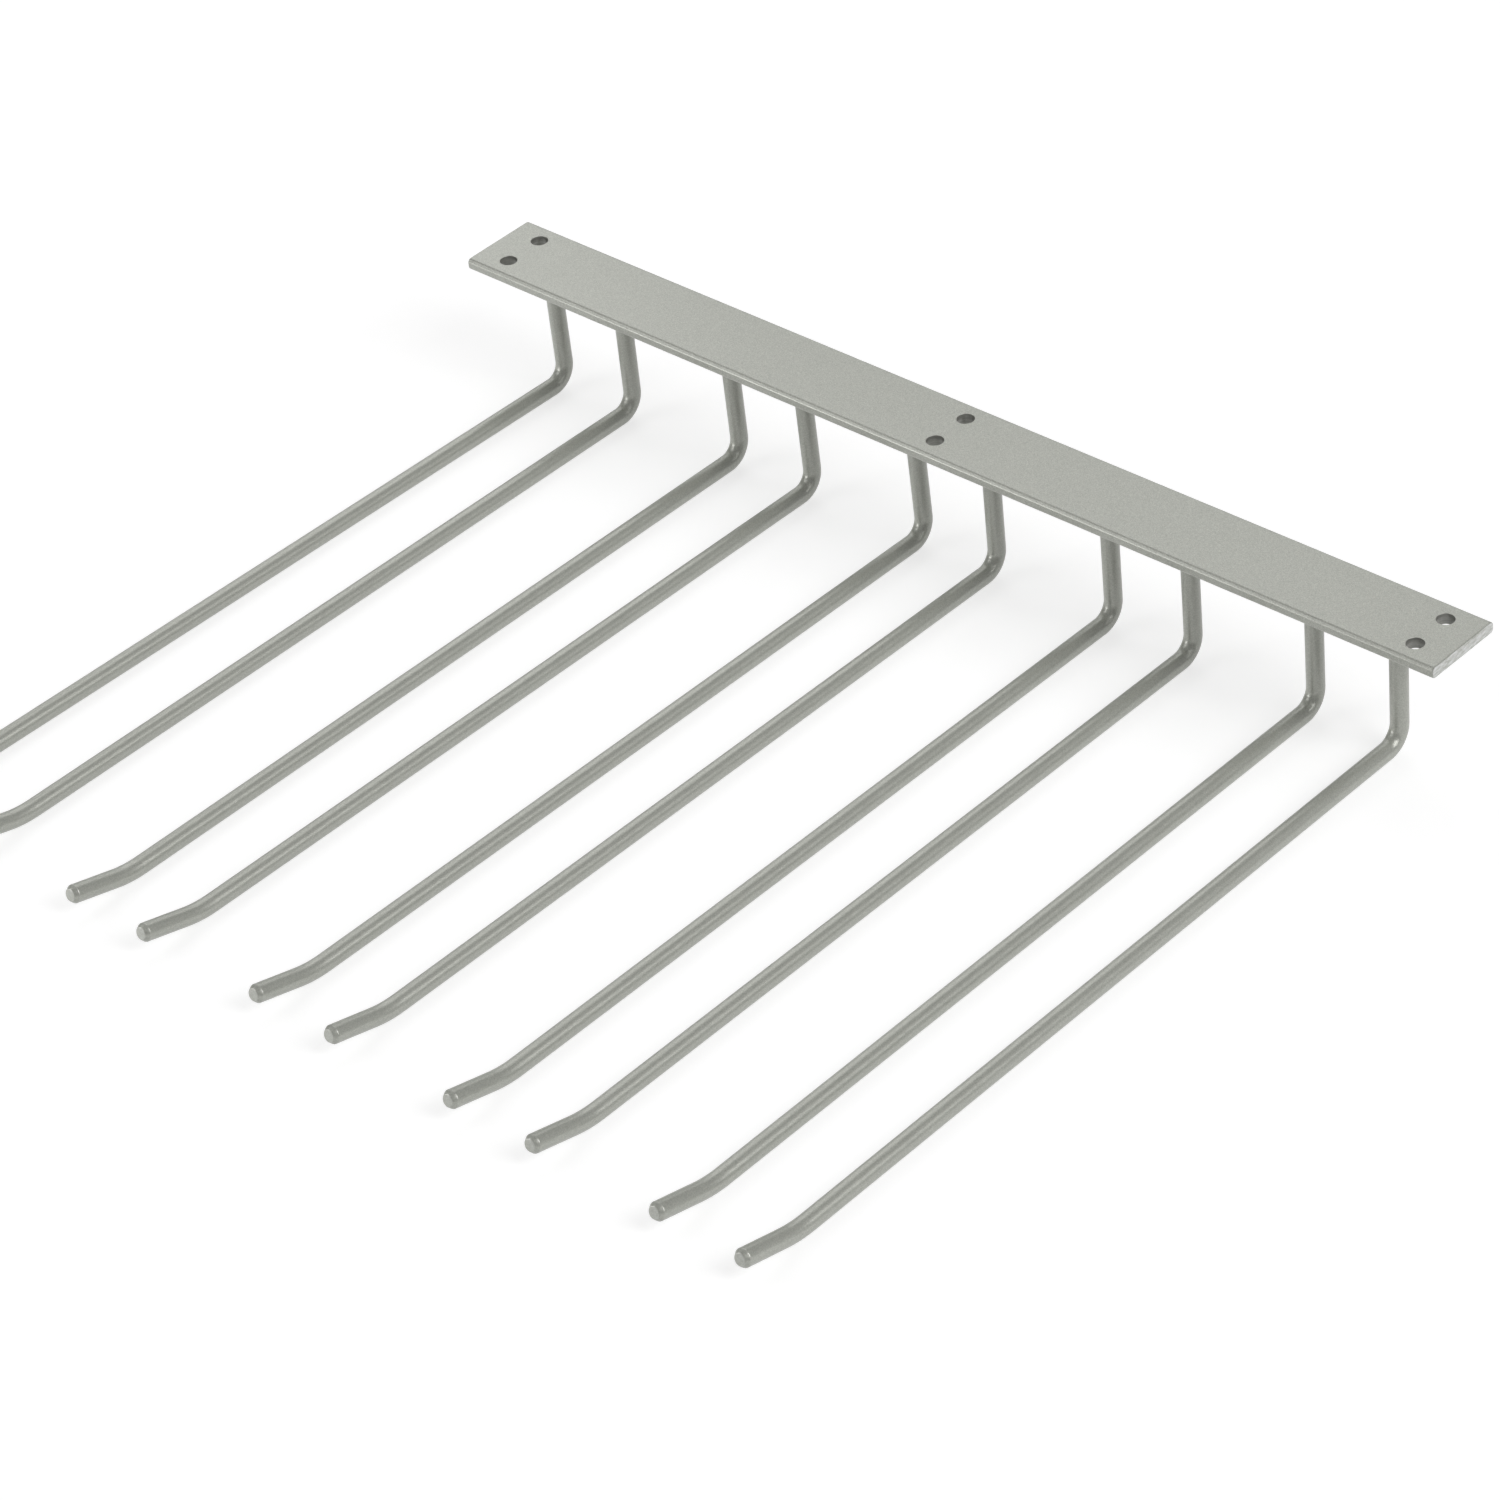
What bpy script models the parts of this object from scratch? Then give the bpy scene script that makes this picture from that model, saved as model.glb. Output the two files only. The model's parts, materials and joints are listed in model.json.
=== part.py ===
"""Hanging wine glass rack: a flat steel bar with pairs of bent rods welded under it.

The bar is screwed to the underside of a shelf. A wine glass slides in upside down, its stem between
the two rods of a pair and its foot on top of them, so each pair holds one row of glasses.

Lengths are in metres and angles in radians. The origin is the centre of the bar's top face, +X runs
along the bar, the rods run out towards -Y, and +Z is up.
"""

import math

import bmesh
import bpy
from mathutils import Matrix, Vector

# Mounting bar: flat steel with rolled long edges and sawn ends
BAR_LENGTH = 0.400
BAR_WIDTH = 0.030
BAR_THICKNESS = 0.004
BAR_EDGE_RADIUS = 0.0013

# Screw holes: a pair across the bar at each end and one pair in the middle
SCREW_HOLE_DIAMETER = 0.0058
SCREW_HOLE_SPACING = 0.015  # between the two holes of a pair
SCREW_HOLE_END_DISTANCE = 0.012  # from a sawn end to the pair

# Rows of glasses, which share the bar's length evenly
ROW_COUNT = 5
RAIL_SPACING = 0.032  # between the axes of the two rods of a row
FOOT_CLEARANCE = 0.039  # from the bar's underside to the top of the rods

# Rails: one round rod each, bent twice
ROD_DIAMETER = 0.006
RAIL_REACH = 0.300  # from the leg's axis to the middle of the tip's end face
LEG_BEND_INNER_RADIUS = 0.004
TIP_BEND_INNER_RADIUS = 0.037
TIP_ANGLE = math.radians(15)
TIP_LENGTH = 0.018  # the straight piece past the upward bend, chamfer included
TIP_CHAMFER = 0.001

# Weld beads: a quarter round of weld metal round the top of each leg
BEAD_SIZE = 0.002
WELD_GAP = 0.0003  # hairline left between two pieces that touch

# How far a cutter runs past the metal on each side
CUT_OVERRUN = 0.002

# Worked out from the sizes above
ROD_RADIUS = ROD_DIAMETER / 2
ROW_PITCH = BAR_LENGTH / ROW_COUNT
LEG_BEND_RADIUS = LEG_BEND_INNER_RADIUS + ROD_RADIUS
TIP_BEND_RADIUS = TIP_BEND_INNER_RADIUS + ROD_RADIUS
WELD_LEVEL = -(BAR_THICKNESS + WELD_GAP)  # height of the top of the legs and beads
LEG_LENGTH = FOOT_CLEARANCE + ROD_RADIUS - WELD_GAP  # from the leg's top to the run's axis
RUN_LENGTH = (
    RAIL_REACH
    - LEG_BEND_RADIUS
    - TIP_BEND_RADIUS * math.sin(TIP_ANGLE)
    - TIP_LENGTH * math.cos(TIP_ANGLE)
)

# How finely round shapes are divided
ROD_SIDES = 20
LEG_BEND_STEPS = 8
TIP_BEND_STEPS = 4
BAR_EDGE_STEPS = 4
HOLE_SIDES = 32
BEAD_STEPS = 4
ROUND_BEVEL_SHARE = 0.5  # the bevel profile that gives a true arc
FULL_TURN = 2 * math.pi
QUARTER_TURN = math.pi / 2
SMOOTH_UP_TO = math.radians(40)

SIDES = {"left": -1, "right": 1}


def clear_scene():
    """Remove every object that the scene holds."""
    for old in list(bpy.data.objects):
        bpy.data.objects.remove(old, do_unlink=True)


def steel_paint(name, colour, roughness, metallic):
    """A coated steel finish."""
    material = bpy.data.materials.new(name)
    material.use_nodes = True
    shader = material.node_tree.nodes["Principled BSDF"]
    shader.inputs["Base Color"].default_value = (*colour, 1.0)
    shader.inputs["Roughness"].default_value = roughness
    shader.inputs["Metallic"].default_value = metallic
    material.diffuse_color = (*colour, 1.0)
    return material


def bar_coat():
    """Silver-grey powder coat on the flat bar."""
    return steel_paint("bar_coat", (0.47, 0.48, 0.45), roughness=0.48, metallic=0.35)


def rail_coat():
    """The same coat on the rods, where it lies a little thinner and darker."""
    return steel_paint("rail_coat", (0.42, 0.43, 0.40), roughness=0.44, metallic=0.40)


def bead_coat():
    """The same coat over the rougher weld metal."""
    return steel_paint("bead_coat", (0.40, 0.41, 0.38), roughness=0.55, metallic=0.35)


def add_object(name, mesh, parent, material=None):
    """Put a mesh into the scene as one named piece under the rack's empty."""
    piece = bpy.data.objects.new(name, mesh)
    bpy.context.scene.collection.objects.link(piece)
    piece.parent = parent
    if material and not mesh.materials:
        mesh.materials.append(material)
    return piece


def finished_mesh(name, bm):
    """Turn a bmesh into a mesh with outward faces, smooth on its round sides."""
    bmesh.ops.recalc_face_normals(bm, faces=bm.faces)
    mesh = bpy.data.meshes.new(name)
    bm.to_mesh(mesh)
    bm.free()
    mesh.shade_smooth()
    mesh.set_sharp_from_angle(angle=SMOOTH_UP_TO)
    return mesh


def add_rack_origin():
    """The empty that carries every piece, at the centre of the bar's top face."""
    origin = bpy.data.objects.new("rack_origin", None)
    bpy.context.scene.collection.objects.link(origin)
    return origin


# Mounting bar


def bar_mesh():
    """The flat bar without its holes, its top face level with the origin."""
    bm = bmesh.new()
    stock = Matrix.Diagonal((BAR_LENGTH, BAR_WIDTH, BAR_THICKNESS, 1.0))
    lowered = Matrix.Translation((0, 0, -BAR_THICKNESS / 2))
    bmesh.ops.create_cube(bm, size=1.0, matrix=lowered @ stock)
    long_edges = [edge for edge in bm.edges if edge.verts[0].co.x * edge.verts[1].co.x < 0]
    bmesh.ops.bevel(
        bm,
        geom=long_edges,
        offset=BAR_EDGE_RADIUS,
        segments=BAR_EDGE_STEPS,
        profile=ROUND_BEVEL_SHARE,
        affect="EDGES",
    )
    return finished_mesh("mounting_bar", bm)


def screw_hole_centres():
    """The centre of each screw hole, pair by pair."""
    end_pair = BAR_LENGTH / 2 - SCREW_HOLE_END_DISTANCE
    centres = []
    for along in (-end_pair, 0, end_pair):
        for side in SIDES.values():
            centres.append(Vector((along, side * SCREW_HOLE_SPACING / 2, -BAR_THICKNESS / 2)))
    return centres


def add_hole_cutter(number, centre, parent):
    """A plain cylinder that drills one screw hole and is left out of the rack."""
    bm = bmesh.new()
    bmesh.ops.create_cone(
        bm,
        cap_ends=True,
        segments=HOLE_SIDES,
        radius1=SCREW_HOLE_DIAMETER / 2,
        radius2=SCREW_HOLE_DIAMETER / 2,
        depth=BAR_THICKNESS + 2 * CUT_OVERRUN,
    )
    cutter = add_object(f"screw_hole_cutter_{number}", finished_mesh("screw_hole_cutter", bm), parent)
    cutter.location = centre
    cutter.hide_render = True
    cutter.display_type = "WIRE"
    return cutter


def add_mounting_bar(parent):
    """The flat bar with its screw holes drilled through."""
    bar = add_object("mounting_bar", bar_mesh(), parent, bar_coat())
    for number, centre in enumerate(screw_hole_centres(), start=1):
        drilled = bar.modifiers.new(f"screw_hole_{number}", "BOOLEAN")
        drilled.operation = "DIFFERENCE"
        drilled.solver = "EXACT"
        drilled.object = add_hole_cutter(number, centre, parent)
    return bar


# Glass rails


def run_straight(bm, ring, travel):
    """Carry the rod's last ring straight on by a vector, and give the new ring."""
    grown = bmesh.ops.extrude_edge_only(bm, edges=ring)["geom"]
    verts = [item for item in grown if isinstance(item, bmesh.types.BMVert)]
    bmesh.ops.translate(bm, verts=verts, vec=travel)
    new_verts = set(verts)
    return [edge for edge in bm.edges if new_verts.issuperset(edge.verts)]


def run_round(bm, ring, centre, angle, steps):
    """Carry the rod's last ring round a bend in the YZ plane, and give the new ring."""
    turned = bmesh.ops.spin(
        bm, geom=ring, cent=centre, axis=(1, 0, 0), dvec=(0, 0, 0), angle=-angle, steps=steps
    )["geom_last"]
    return [item for item in turned if isinstance(item, bmesh.types.BMEdge)]


def chamfer_end(bm, ring, along):
    """Close the rod with a chamfered end, for a rod that points along a unit vector."""
    end = run_straight(bm, ring, along * TIP_CHAMFER)
    verts = list(dict.fromkeys(vert for edge in end for vert in edge.verts))
    middle = sum((vert.co for vert in verts), Vector()) / len(verts)
    for vert in verts:
        vert.co = middle + (vert.co - middle) * (ROD_RADIUS - TIP_CHAMFER) / ROD_RADIUS
    bmesh.ops.edgeloop_fill(bm, edges=end)


def rail_mesh():
    """One rod: a short leg, a tight bend, a long run and a tip bent up, its top at the mesh's origin."""
    bm = bmesh.new()
    bmesh.ops.create_circle(bm, cap_ends=False, segments=ROD_SIDES, radius=ROD_RADIUS)
    top = list(bm.edges)
    leg_bend_centre = Vector((0, -LEG_BEND_RADIUS, LEG_BEND_RADIUS - LEG_LENGTH))
    tip_bend_centre = Vector((0, -LEG_BEND_RADIUS - RUN_LENGTH, TIP_BEND_RADIUS - LEG_LENGTH))
    along_tip = Vector((0, -math.cos(TIP_ANGLE), math.sin(TIP_ANGLE)))
    ring = run_straight(bm, top, Vector((0, 0, LEG_BEND_RADIUS - LEG_LENGTH)))
    ring = run_round(bm, ring, leg_bend_centre, QUARTER_TURN, LEG_BEND_STEPS)
    ring = run_straight(bm, ring, Vector((0, -RUN_LENGTH, 0)))
    ring = run_round(bm, ring, tip_bend_centre, TIP_ANGLE, TIP_BEND_STEPS)
    ring = run_straight(bm, ring, along_tip * (TIP_LENGTH - TIP_CHAMFER))
    chamfer_end(bm, ring, along_tip)
    bmesh.ops.edgeloop_fill(bm, edges=top)
    return finished_mesh("glass_rail", bm)


# Weld beads


def bead_mesh():
    """A ring of weld metal, quarter round in section, with its flat top at the mesh's origin."""
    bm = bmesh.new()
    bore = ROD_RADIUS + WELD_GAP
    section = [bm.verts.new((bore, 0, 0))]
    for step in range(BEAD_STEPS + 1):
        angle = QUARTER_TURN * step / BEAD_STEPS
        outwards = bore + BEAD_SIZE * math.cos(angle)
        section.append(bm.verts.new((outwards, 0, -BEAD_SIZE * math.sin(angle))))
    # The last point lies under the first one, on the bore, so it closes the section
    edges = [bm.edges.new(pair) for pair in zip(section, section[1:] + section[:1])]
    bmesh.ops.spin(
        bm,
        geom=section + edges,
        cent=(0, 0, 0),
        axis=(0, 0, 1),
        dvec=(0, 0, 0),
        angle=FULL_TURN,
        steps=ROD_SIDES,
        use_merge=True,
    )
    return finished_mesh("weld_bead", bm)


# The rack


def rail_places():
    """The name ending and the X of each rod: rows are counted from -X, and each has a left and a right."""
    places = []
    for row in range(ROW_COUNT):
        row_centre = (row - (ROW_COUNT - 1) / 2) * ROW_PITCH
        for side_name, side in SIDES.items():
            places.append((f"{row + 1}_{side_name}", row_centre + side * RAIL_SPACING / 2))
    return places


def add_rails_and_beads(parent):
    """Every rod under the bar, with the weld bead that holds it."""
    rail = rail_mesh()
    bead = bead_mesh()
    rail_finish = rail_coat()
    bead_finish = bead_coat()
    for ending, along in rail_places():
        for kind, mesh, finish in (("glass_rail", rail, rail_finish), ("weld_bead", bead, bead_finish)):
            piece = add_object(f"{kind}_{ending}", mesh, parent, finish)
            piece.location = (along, 0, WELD_LEVEL)


def build_rack():
    """Build the whole rack in an empty scene."""
    clear_scene()
    origin = add_rack_origin()
    add_mounting_bar(origin)
    add_rails_and_beads(origin)
    bpy.context.view_layer.update()


build_rack()
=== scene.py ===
"""Hanging wine glass rack, dressed for its photograph.

A flat steel bar carries five pairs of bent rods, each rod welded under the bar by its short leg. One
silver-grey powder coat covers everything. Lengths are in metres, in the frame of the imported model:
+X along the bar, the rods run out towards -Y, and +Z is up.
"""

import json
import logging
import math
from collections.abc import Callable, Iterable
from dataclasses import dataclass, field
from enum import Enum

import bmesh
import bpy
from mathutils import Matrix, Vector, noise

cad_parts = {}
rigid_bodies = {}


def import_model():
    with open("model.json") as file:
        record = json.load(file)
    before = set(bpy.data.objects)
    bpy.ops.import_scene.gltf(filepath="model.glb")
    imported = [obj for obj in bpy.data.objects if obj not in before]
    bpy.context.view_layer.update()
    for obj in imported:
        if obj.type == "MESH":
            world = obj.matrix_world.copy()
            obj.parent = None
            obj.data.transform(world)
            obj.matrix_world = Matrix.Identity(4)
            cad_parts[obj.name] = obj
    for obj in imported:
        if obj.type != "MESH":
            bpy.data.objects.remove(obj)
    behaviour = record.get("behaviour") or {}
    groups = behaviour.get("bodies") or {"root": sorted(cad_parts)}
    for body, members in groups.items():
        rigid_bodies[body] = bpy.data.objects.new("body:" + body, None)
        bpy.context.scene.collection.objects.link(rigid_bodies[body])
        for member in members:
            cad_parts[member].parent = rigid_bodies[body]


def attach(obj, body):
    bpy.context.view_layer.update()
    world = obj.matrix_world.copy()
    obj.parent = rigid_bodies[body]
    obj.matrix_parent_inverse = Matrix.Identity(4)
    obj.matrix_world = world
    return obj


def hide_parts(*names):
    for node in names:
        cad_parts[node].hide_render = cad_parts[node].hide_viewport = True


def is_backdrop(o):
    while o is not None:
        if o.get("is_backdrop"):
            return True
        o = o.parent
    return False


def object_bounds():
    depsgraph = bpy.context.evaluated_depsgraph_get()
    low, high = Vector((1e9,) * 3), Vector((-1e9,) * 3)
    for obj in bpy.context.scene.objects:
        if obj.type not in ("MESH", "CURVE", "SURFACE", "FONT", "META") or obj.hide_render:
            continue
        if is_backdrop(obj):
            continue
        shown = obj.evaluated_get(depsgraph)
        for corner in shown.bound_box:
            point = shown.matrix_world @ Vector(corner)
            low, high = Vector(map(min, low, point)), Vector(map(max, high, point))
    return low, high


log = logging.getLogger("glass_rack")

RACK_BODY = "root"
MM = 0.001

# How far apart two places may lie and still count as one: as modelled, and after some more steps
TINY = 1e-6
NEAR = 10 * TINY

# The top of every leg and bead, a hairline under the bar
WELD_LEVEL = -4.3 * MM

# The angle between two faces up to which a rounded piece is shaded smooth
SMOOTH_LIMIT = math.radians(40)

# Without a seed, the noise that moves the rims of the holes starts from the clock
NOISE_SEED = 1

# Names of the attributes that the meshes carry for their finish, with its painted highlight, light and shade
RIM_AND_HIGHLIGHT_MASK = "coat_rim_and_highlight"
SAWN_MASK = "sawn_face"
BORE_MASK = "hole_bore"
MASKS = (RIM_AND_HIGHLIGHT_MASK, SAWN_MASK, BORE_MASK)

NodeSocket = bpy.types.NodeSocket


# Tools that every piece uses


def deselect_everything() -> None:
    """Leave object mode with nothing selected, because an operator acts on all that is selected."""
    if bpy.context.object and bpy.context.object.mode != "OBJECT":
        bpy.ops.object.mode_set(mode="OBJECT")
    for piece in bpy.context.view_layer.objects:
        piece.select_set(False)


def make_active(piece: bpy.types.Object) -> None:
    """Select one piece alone and make it the one that the operators work on."""
    deselect_everything()
    piece.select_set(True)
    bpy.context.view_layer.objects.active = piece


def name_active(name: str) -> bpy.types.Object:
    """Give the piece that was just added its name, on the object and on its mesh."""
    piece = bpy.context.object
    piece.name = name
    piece.data.name = name
    return piece


def pick_edges(piece: bpy.types.Object, wanted: Callable[[Vector, Vector], bool]) -> None:
    """Select the edges of the piece in edit mode whose two ends lie where they are wanted.

    Args:
        piece: The piece in edit mode.
        wanted: Tells from the places of an edge's two ends whether it is one of them.
    """
    bpy.ops.mesh.select_mode(type="EDGE")
    bpy.ops.mesh.select_all(action="DESELECT")
    shape = bmesh.from_edit_mesh(piece.data)
    for edge in shape.edges:
        edge.select = wanted(edge.verts[0].co, edge.verts[1].co)
    bmesh.update_edit_mesh(piece.data)


def merge_faces(piece: bpy.types.Object, wanted: Callable[[Vector], bool]) -> None:
    """Join the neighbouring faces of the piece in edit mode that look where they are wanted.

    Args:
        piece: The piece in edit mode.
        wanted: Tells from a face's normal whether it is one of them.
    """
    bpy.ops.mesh.select_mode(type="FACE")
    bpy.ops.mesh.select_all(action="DESELECT")
    shape = bmesh.from_edit_mesh(piece.data)
    for face in shape.faces:
        face.select = wanted(face.normal)
    bmesh.update_edit_mesh(piece.data)
    bpy.ops.mesh.dissolve_faces()


def tidy_mesh() -> None:
    """In edit mode, merge doubled vertices and turn every face outwards."""
    bpy.ops.mesh.select_all(action="SELECT")
    bpy.ops.mesh.remove_doubles(threshold=TINY)
    bpy.ops.mesh.normals_make_consistent(inside=False)


def apply_place(piece: bpy.types.Object) -> None:
    """Put the piece's place, turn and scale into its mesh."""
    make_active(piece)
    bpy.ops.object.transform_apply(location=True, rotation=True, scale=True)


def apply_modifier(piece: bpy.types.Object, modifier: bpy.types.Modifier) -> None:
    """Make one modifier part of the piece's mesh."""
    make_active(piece)
    bpy.ops.object.modifier_apply(modifier=modifier.name)


def copy_piece(piece: bpy.types.Object, name: str) -> bpy.types.Object:
    """A copy of a piece under a new name, with a mesh of its own."""
    twin = piece.copy()
    twin.data = piece.data.copy()
    twin.name = name
    twin.data.name = name
    bpy.context.scene.collection.objects.link(twin)
    return twin


def remove_piece(piece: bpy.types.Object) -> None:
    """Take a pattern piece or a cutter out of the scene."""
    mesh = piece.data
    bpy.data.objects.remove(piece, do_unlink=True)
    bpy.data.meshes.remove(mesh)


def paint_mask(piece: bpy.types.Object, name: str, value: Callable[[Vector], float]) -> None:
    """Store a value between 0 and 1 on every vertex, for the piece's finish to read.

    Args:
        piece: The piece in object mode.
        name: The attribute's name.
        value: Gives the value from a vertex's place.
    """
    layer = piece.data.attributes.new(name=name, type="FLOAT", domain="POINT")
    for vert in piece.data.vertices:
        layer.data[vert.index].value = value(vert.co)


def shade_rounded(piece: bpy.types.Object) -> None:
    """Shade the rounded parts of a piece smooth and keep its flat faces flat."""
    make_active(piece)
    bpy.ops.object.shade_smooth_by_angle(angle=SMOOTH_LIMIT)
    weighted = piece.modifiers.new("weighted_normals", "WEIGHTED_NORMAL")
    weighted.mode = "FACE_AREA"
    weighted.weight = 100
    weighted.keep_sharp = True
    apply_modifier(piece, weighted)


def fade(distance: float, width: float) -> float:
    """1 at no distance and 0 from a width on, with a soft run between them."""
    left = max(0.0, 1.0 - abs(distance) / width)
    return left * left * (3.0 - 2.0 * left)


# Node wiring, and the effects that the finishes share, each a node group


@dataclass
class Wiring:
    """Adds nodes to one tree and joins their sockets."""

    tree: bpy.types.NodeTree

    def add(self, kind: str, **settings: object) -> bpy.types.Node:
        """A new node with its settings."""
        node = self.tree.nodes.new(kind)
        for name, value in settings.items():
            setattr(node, name, value)
        return node

    def feed(self, socket: NodeSocket, source: NodeSocket | float) -> None:
        """Link a source into a socket, or write a plain number there."""
        if isinstance(source, bpy.types.NodeSocket):
            self.tree.links.new(source, socket)
        else:
            socket.default_value = source

    def math(self, operation: str, first: NodeSocket | float, second: NodeSocket | float) -> NodeSocket:
        """The result of one sum on two values."""
        node = self.add("ShaderNodeMath", operation=operation)
        self.feed(node.inputs[0], first)
        self.feed(node.inputs[1], second)
        return node.outputs["Value"]

    def spread(self, source: NodeSocket, low: float, high: float) -> NodeSocket:
        """A value stretched so that low becomes 0 and high becomes 1, and held between them."""
        node = self.add("ShaderNodeMapRange", clamp=True)
        self.feed(node.inputs["Value"], source)
        node.inputs["From Min"].default_value = low
        node.inputs["From Max"].default_value = high
        return node.outputs["Result"]

    def noise(
        self, place: NodeSocket, scale: NodeSocket, detail: float, roughness: float = 0.5
    ) -> NodeSocket:
        """The level of a cloudy noise at a place."""
        node = self.add("ShaderNodeTexNoise")
        self.feed(node.inputs["Vector"], place)
        self.feed(node.inputs["Scale"], scale)
        node.inputs["Detail"].default_value = detail
        node.inputs["Roughness"].default_value = roughness
        return node.outputs["Fac"]

    def stretched(self, place: NodeSocket, shares: tuple[float, float, float]) -> NodeSocket:
        """A place with each axis multiplied, so that a pattern is drawn out along the smallest."""
        node = self.add("ShaderNodeMapping")
        self.feed(node.inputs["Vector"], place)
        node.inputs["Scale"].default_value = shares
        return node.outputs["Vector"]

    def swing(self, source: NodeSocket, amount: NodeSocket) -> NodeSocket:
        """How far a value from 0 to 1 swings off its middle, times an amount."""
        return self.math("MULTIPLY", self.math("SUBTRACT", source, 0.5), amount)

    def between(
        self, amount: NodeSocket, first: NodeSocket | float, second: NodeSocket | float
    ) -> NodeSocket:
        """A value that goes from the first to the second as the amount goes from 0 to 1."""
        node = self.add("ShaderNodeMix", data_type="FLOAT")
        self.feed(node.inputs["Factor"], amount)
        self.feed(node.inputs["A"], first)
        self.feed(node.inputs["B"], second)
        return node.outputs["Result"]

    def blend_colour(
        self, amount: NodeSocket, first: NodeSocket, second: tuple[float, float, float]
    ) -> NodeSocket:
        """A colour that goes from a socket's colour to a plain one as the amount goes from 0 to 1."""
        node = self.add("ShaderNodeMix", data_type="RGBA")
        sockets = {socket.identifier: socket for socket in node.inputs}
        self.feed(node.inputs["Factor"], amount)
        self.feed(sockets["A_Color"], first)
        sockets["B_Color"].default_value = (*second, 1.0)
        return next(socket for socket in node.outputs if socket.identifier == "Result_Color")

    def group(self, tree: bpy.types.NodeTree, **sources: object) -> bpy.types.Node:
        """A shared effect, with its inputs given by name, an underscore for a space."""
        node = self.add("ShaderNodeGroup", node_tree=tree)
        for name, source in sources.items():
            self.feed(node.inputs[name.replace("_", " ")], source)
        return node


class Effects:
    """Builds each shared node group once and hands it out by name."""

    def __init__(self) -> None:
        """Start with no groups built."""
        self._built: dict[str, bpy.types.NodeTree] = {}

    def group(self, name: str) -> bpy.types.NodeTree:
        """The node group of that name, built at its first use."""
        if name not in self._built:
            self._built[name] = {
                "coat grain": self._coat_grain,
                "orange peel": self._orange_peel,
                "thin rim and highlight": self._thin_rim,
                "saw marks": self._saw_marks,
                "drill rings and shade": self._drill_marks,
            }[name]()
        return self._built[name]

    @staticmethod
    def _new_group(
        name: str, inputs: dict[str, tuple[str, object]], outputs: dict[str, str]
    ) -> tuple[bpy.types.NodeTree, bpy.types.Node, bpy.types.Node]:
        """An empty group with its sockets.

        Args:
            name: The group's name.
            inputs: The kind and the usual value of each input, by its name.
            outputs: The kind of each output, by its name.

        Returns:
            The group, its input node and its output node.
        """
        tree = bpy.data.node_groups.new(name, "ShaderNodeTree")
        for title, (kind, usual) in inputs.items():
            socket = tree.interface.new_socket(name=title, in_out="INPUT", socket_type=kind)
            if usual is not None:
                socket.default_value = usual
        for title, kind in outputs.items():
            tree.interface.new_socket(name=title, in_out="OUTPUT", socket_type=kind)
        return tree, tree.nodes.new("NodeGroupInput"), tree.nodes.new("NodeGroupOutput")

    def _coat_grain(self) -> bpy.types.NodeTree:
        """The metal flakes in the coat, its cloudy patches and the colour that they make."""
        tree, given, result = self._new_group(
            "coat grain",
            {
                "Vector": ("NodeSocketVector", None),
                "Colour": ("NodeSocketColor", (0.5, 0.5, 0.5, 1.0)),
                "Flake Scale": ("NodeSocketFloat", 5500.0),
                "Flake Contrast": ("NodeSocketFloat", 0.06),
                "Cloud Scale": ("NodeSocketFloat", 110.0),
                "Cloud Contrast": ("NodeSocketFloat", 0.03),
            },
            {"Colour": "NodeSocketColor", "Flake": "NodeSocketFloat", "Cloud": "NodeSocketFloat"},
        )
        wiring = Wiring(tree)
        flake = wiring.add("ShaderNodeTexVoronoi", feature="SMOOTH_F1")
        flake.inputs["Smoothness"].default_value = 0.5
        wiring.feed(flake.inputs["Vector"], given.outputs["Vector"])
        wiring.feed(flake.inputs["Scale"], given.outputs["Flake Scale"])
        split = wiring.add("ShaderNodeSeparateColor")
        wiring.feed(split.inputs["Color"], flake.outputs["Color"])
        cloud = wiring.noise(given.outputs["Vector"], given.outputs["Cloud Scale"], detail=4.0, roughness=0.6)
        flake_part = wiring.swing(split.outputs["Red"], given.outputs["Flake Contrast"])
        cloud_part = wiring.swing(cloud, given.outputs["Cloud Contrast"])
        level = wiring.math("ADD", wiring.math("ADD", flake_part, cloud_part), 1.0)
        shaded = wiring.add("ShaderNodeVectorMath", operation="SCALE")
        wiring.feed(shaded.inputs[0], given.outputs["Colour"])
        wiring.feed(shaded.inputs["Scale"], level)
        wiring.feed(result.inputs["Colour"], shaded.outputs["Vector"])
        wiring.feed(result.inputs["Flake"], split.outputs["Green"])
        wiring.feed(result.inputs["Cloud"], cloud)
        return tree

    def _orange_peel(self) -> bpy.types.NodeTree:
        """The height of the coat's slow ripple, with the fine grain of its flakes on top."""
        tree, given, result = self._new_group(
            "orange peel",
            {
                "Vector": ("NodeSocketVector", None),
                "Ripple Scale": ("NodeSocketFloat", 700.0),
                "Ripple Height": ("NodeSocketFloat", 1.0),
                "Grain Scale": ("NodeSocketFloat", 2600.0),
                "Grain Height": ("NodeSocketFloat", 0.3),
            },
            {"Height": "NodeSocketFloat"},
        )
        wiring = Wiring(tree)
        parts = []
        for wave, detail in (("Ripple", 1.0), ("Grain", 2.0)):
            level = wiring.noise(given.outputs["Vector"], given.outputs[f"{wave} Scale"], detail)
            parts.append(wiring.math("MULTIPLY", level, given.outputs[f"{wave} Height"]))
        wiring.feed(result.inputs["Height"], wiring.math("ADD", *parts))
        return tree

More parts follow.
